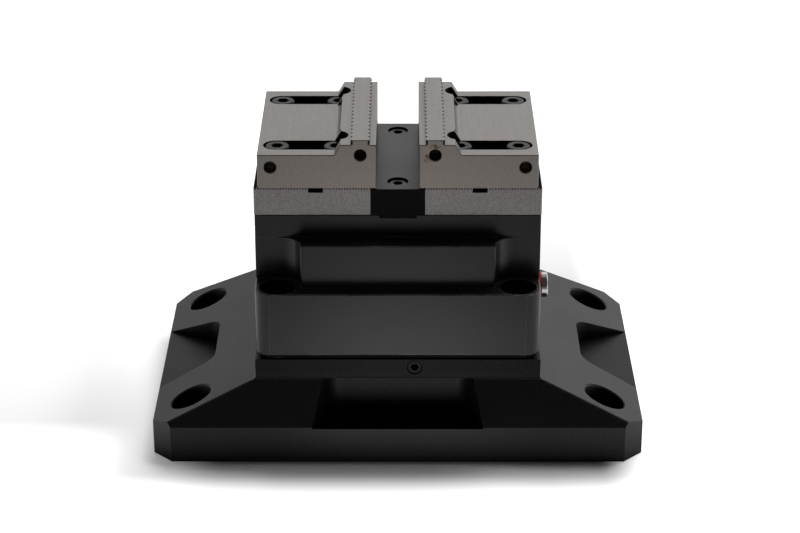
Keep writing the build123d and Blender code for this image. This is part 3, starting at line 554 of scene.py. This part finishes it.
def plain_metal(name, colour, roughness, scratch=0.3):
    """A plain turned metal with fine uneven polish."""
    material, tree, shader, place = new_material(name)
    shader.inputs["Metallic"].default_value = 1.0
    cloud = noise(tree, place, metal_cloud_scale, 3.0)
    fine = noise(tree, place, metal_fine_scale, 2.0)
    darker = scaled_colour(colour, metal_cloud_dark)
    tree.links.new(mix_colours(tree, cloud, darker, colour), shader.inputs["Base Color"])
    smoother, rougher = roughness - metal_roughness_swing, roughness + metal_roughness_swing
    rough = map_range(tree, cloud, wide_noise_low, wide_noise_high, smoother, rougher, smooth=False)
    tree.links.new(rough, shader.inputs["Roughness"])
    edges = rounded_edges(tree, metal_edge)
    tree.links.new(bump(tree, fine, metal_bump_depth, scratch, edges), shader.inputs["Normal"])
    return material


def soft_finish(name, colour, roughness):
    """Rubber, fibre or plastic: a matt colour with fine pores."""
    material, tree, shader, place = new_material(name)
    cloud = noise(tree, place, soft_cloud_scale, 3.0)
    fine = noise(tree, place, soft_fine_scale, 2.0)
    darker = scaled_colour(colour, soft_cloud_dark)
    tree.links.new(mix_colours(tree, cloud, darker, colour), shader.inputs["Base Color"])
    smoother, rougher = roughness - soft_smoother, roughness + soft_rougher
    rough = map_range(tree, fine, wide_noise_low, wide_noise_high, smoother, rougher, smooth=False)
    tree.links.new(rough, shader.inputs["Roughness"])
    tree.links.new(bump(tree, fine, soft_bump_depth, soft_bump_strength), shader.inputs["Normal"])
    return material


def make_materials():
    """Every node's material, by node name."""
    riser_speculars = (0.55, 0.21, 0.44, 0.17)
    riser = black_finish("riser_black", 0.003, 0.42, 0.35, riser_speculars, edge=0.0002, sparkle=0.03)[0]
    housing = housing_finish("housing_black", 0.011, 0.30, 0.12, (0.43, 0.43, 0.50, 0.50), rubbed=0.38)
    cover = black_finish("cover_black", 0.004, 0.34, 0.12, (0.4, 0.33, 0.08, 0.08))[0]
    screw = black_finish("screw_black", 0.006, 0.36, 0.15, (0.5, 0.5, 0.5, 0.5))[0]
    plug_black = black_finish("plug_black", 0.004, 0.36, 0.15, (0.5, 0.5, 0.2, 0.2))[0]
    jaw_colour = (0.310, 0.294, 0.282, 1.0)
    jaw_front = (0.372, 0.334, 0.303, 1.0)
    jaw_left = steel("jaw_steel", jaw_colour, jaw_front, 0.42, 0.0005, 0.12, 0.05)[0]
    jaw_right = stained_steel("jaw_steel_stained", jaw_colour, jaw_front, 0.42, 0.0005, 0.12, 0.05)
    carriage_colour = (0.335, 0.317, 0.311, 1.0)
    carriage = steel("carriage_steel", carriage_colour, carriage_colour, 0.45, 0.0006, 0.30, 0.02)[0]
    jaw_screw = plain_metal("jaw_screw_steel", (0.036, 0.035, 0.034, 1.0), 0.36)
    plain_steel = plain_metal("plain_steel", (0.50, 0.49, 0.47, 1.0), 0.32)
    aluminium = plain_metal("plain_aluminium", (0.70, 0.70, 0.70, 1.0), 0.34)
    plug = plain_metal("bright_plug", (0.72, 0.71, 0.69, 1.0), 0.20)
    red = soft_finish("red_seal", (0.42, 0.030, 0.012, 1.0), 0.45)
    rubber = soft_finish("black_rubber", (0.012, 0.012, 0.012, 1.0), 0.55)
    guide = soft_finish("guide_plastic", (0.16, 0.10, 0.05, 1.0), 0.5)
    return {
        "riser_base": riser,
        "gallery_plugs": plug_black,
        "vise_body": housing,
        "body_mounting_screws": screw,
        "centring_sleeves": screw,
        "transfer_seals": rubber,
        "cylinder_cover": aluminium,
        "cylinder_cover_seal": rubber,
        "cylinder_cover_screws": screw,
        "piston": aluminium,
        "piston_seal": rubber,
        "piston_guide_ring": guide,
        "piston_screw": screw,
        "wedge_hook": plain_steel,
        "rod_seal": rubber,
        "base_jaw_left": carriage,
        "base_jaw_right": carriage,
        "top_jaw_left": jaw_left,
        "top_jaw_right": jaw_right,
        "jaw_screws_left": jaw_screw,
        "jaw_screws_right": jaw_screw,
        "centre_cover": cover,
        "centre_cover_screws": screw,
        "port_plugs": plug,
        "port_seals": red,
    }


def dress_nodes():
    """Puts each node's material in its slots."""
    for name, material in make_materials().items():
        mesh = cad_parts[name].data
        mesh.materials.clear()
        mesh.materials.append(material)


def make_camera():
    """The camera at the photograph's viewing angle."""
    data = bpy.data.cameras.new("camera")
    data.sensor_width = sensor_width
    data.lens = focal_pixels / photo_width * sensor_width
    data.clip_end = camera_reach
    camera = bpy.data.objects.new("camera", data)
    camera.location = camera_place
    camera.rotation_euler = (math.pi / 2 - camera_tilt, 0.0, camera_turn)
    bpy.context.scene.collection.objects.link(camera)
    bpy.context.scene.camera = camera


def lit_floor(tree, colour, glow):
    """A diffuse floor with painted light: it also glows where no shadow falls."""
    shaded = add_node(tree, "ShaderNodeBsdfDiffuse", Color=colour)
    light = add_node(tree, "ShaderNodeEmission", Strength=glow)
    both = add_node(tree, "ShaderNodeAddShader")
    tree.links.new(shaded.outputs[0], both.inputs[0])
    tree.links.new(light.outputs[0], both.inputs[1])
    return both


def shown_glow(tree, parts, distance):
    """The painted light that the floor gives off round the object's shadow: most in front and at the right.
    """
    forward = math_node(tree, "MULTIPLY", parts.outputs[1], -1.0)
    ahead = math_node(tree, "SUBTRACT", forward, footprint_half_width)
    front = map_range(tree, ahead, shadow_start, shadow_end, 0.0, floor_glow)
    right = map_range(tree, parts.outputs[0], right_clear_start, right_clear_end, 0.0, glow_right)
    leftward = math_node(tree, "MULTIPLY", parts.outputs[0], -1.0)
    left = map_range(tree, leftward, left_clear_start, left_clear_end, 0.0, glow_left)
    left_near = map_range(tree, leftward, left_fade_start, left_fade_end, 1.0, 0.0)
    left_front = map_range(tree, forward, left_front_start, left_front_end, 0.0, glow_left_front)
    left_far = map_range(tree, leftward, left_fade_start, left_fade_end)
    beside_left = math_node(tree, "MULTIPLY", left, left_near)
    left_glow = math_node(tree, "ADD", beside_left, math_node(tree, "MULTIPLY", left_front, left_far))
    sides = math_node(tree, "ADD", right, left_glow)
    back = map_range(tree, parts.outputs[1], back_clear_start, back_clear_end, 0.0, glow_back)
    far = map_range(tree, distance, far_clear_start, far_clear_end, 0.0, glow_far)
    near = math_node(tree, "ADD", front, sides)
    return math_node(tree, "ADD", near, math_node(tree, "ADD", back, far))


def make_floor():
    """A pale floor: white for the camera away from the object, with the object's shadow, shaped by painted
    light round it and a painted shadow at its right front; the floor that the object reflects has painted
    light and painted shade too.
    """
    mesh = bpy.data.meshes.new("floor")
    corners = [(-floor_half, -floor_half, 0), (floor_half, -floor_half, 0)]
    corners += [(floor_half, floor_half, 0), (-floor_half, floor_half, 0)]
    mesh.from_pydata(corners, [], [(0, 1, 2, 3)])
    floor = bpy.data.objects.new("floor", mesh)
    bpy.context.scene.collection.objects.link(floor)
    material = bpy.data.materials.new("floor")
    material.use_nodes = True
    tree = material.node_tree
    tree.nodes.clear()
    place = tree.nodes.new("ShaderNodeTexCoord").outputs["Object"]
    parts = add_node(tree, "ShaderNodeSeparateXYZ", Vector=place)
    along = math_node(tree, "ABSOLUTE", parts.outputs[0])
    across = math_node(tree, "ABSOLUTE", parts.outputs[1])
    past_end = math_node(tree, "SUBTRACT", along, footprint_half_length)
    stretched_end = math_node(tree, "MULTIPLY", past_end, shadow_side_stretch)
    beyond_end = math_node(tree, "MAXIMUM", stretched_end)
    beyond_front = math_node(tree, "MAXIMUM", math_node(tree, "SUBTRACT", across, footprint_half_width))
    distance = math_node(tree, "SQRT", sum_of_squares(tree, beyond_end, beyond_front))
    clear = map_range(tree, distance, shadow_start, shadow_end, 0.0, floor_glow)
    # a painted shadow on the floor at the right front
    shade = map_range(tree, parts.outputs[0], right_shade_start, right_shade_end, 1.0, right_shade)
    shown_colour = mix_colours(tree, shade, grey(0.0), grey(floor_shown_colour))
    shown = lit_floor(tree, shown_colour, shown_glow(tree, parts, distance))
    # the floor that the object reflects: painted light where no shadow falls, and painted shade far ahead and
    # towards the sides
    ahead = map_range(tree, parts.outputs[1], table_dark, table_front, table_dark_level, 1.0)
    aside = map_range(tree, along, table_centre_half, table_side_half, 1.0, table_side_share)
    table = math_node(tree, "MULTIPLY", ahead, aside)
    table_glow = math_node(tree, "MULTIPLY", clear, table)
    table_colour = mix_colours(tree, table, grey(0.0), grey(floor_colour))
    plain = lit_floor(tree, table_colour, table_glow)
    seen = tree.nodes.new("ShaderNodeLightPath").outputs["Is Camera Ray"]
    both = add_node(tree, "ShaderNodeMixShader", Fac=seen)
    tree.links.new(plain.outputs[0], both.inputs[1])
    tree.links.new(shown.outputs[0], both.inputs[2])
    output = tree.nodes.new("ShaderNodeOutputMaterial")
    tree.links.new(both.outputs[0], output.inputs[0])
    mesh.materials.append(material)


def make_world():
    """A pale room: bright behind the object, dim above and before it, and white for the camera."""
    world = bpy.data.worlds.new("studio")
    world.use_nodes = True
    tree = world.node_tree
    tree.nodes.clear()
    direction = tree.nodes.new("ShaderNodeTexCoord").outputs["Generated"]
    parts = add_node(tree, "ShaderNodeSeparateXYZ", Vector=direction)
    height = parts.outputs[2]
    behind = map_range(tree, parts.outputs[1], wall_front_edge, wall_full)
    rising = map_range(tree, height, 0.0, wall_bright_low, world_horizon_level, world_back_level)
    falling = map_range(tree, height, wall_bright_high, wall_end, world_back_level, world_top_level)
    wall = math_node(tree, "MINIMUM", rising, falling)
    sideways = map_range(tree, parts.outputs[0], -wall_side, wall_side, world_left_share, world_right_share)
    wall_lit = math_node(tree, "MULTIPLY", math_node(tree, "MULTIPLY", wall, sideways), behind)
    level = math_node(tree, "MAXIMUM", wall_lit, world_front_level)
    room = add_node(tree, "ShaderNodeBackground", Color=grey(1.0), Strength=level)
    white = add_node(tree, "ShaderNodeBackground", Color=grey(1.0), Strength=1.0)
    seen = tree.nodes.new("ShaderNodeLightPath").outputs["Is Camera Ray"]
    both = add_node(tree, "ShaderNodeMixShader", Fac=seen)
    tree.links.new(room.outputs[0], both.inputs[1])
    tree.links.new(white.outputs[0], both.inputs[2])
    output = tree.nodes.new("ShaderNodeOutputWorld")
    tree.links.new(both.outputs[0], output.inputs[0])
    bpy.context.scene.world = world


def make_softbox():
    """The large soft light above and behind the object."""
    data = bpy.data.lights.new("softbox", "AREA")
    data.shape = "RECTANGLE"
    data.size, data.size_y = softbox_size
    data.energy = softbox_power
    lamp = bpy.data.objects.new("softbox", data)
    lamp.location = softbox_place
    lamp.visible_glossy = False
    aim = Vector(softbox_target) - Vector(softbox_place)
    lamp.rotation_euler = aim.to_track_quat("-Z", "Y").to_euler()
    bpy.context.scene.collection.objects.link(lamp)


dress_nodes()
make_camera()
make_floor()
make_world()
make_softbox()
bpy.context.scene.view_settings.view_transform = "Standard"
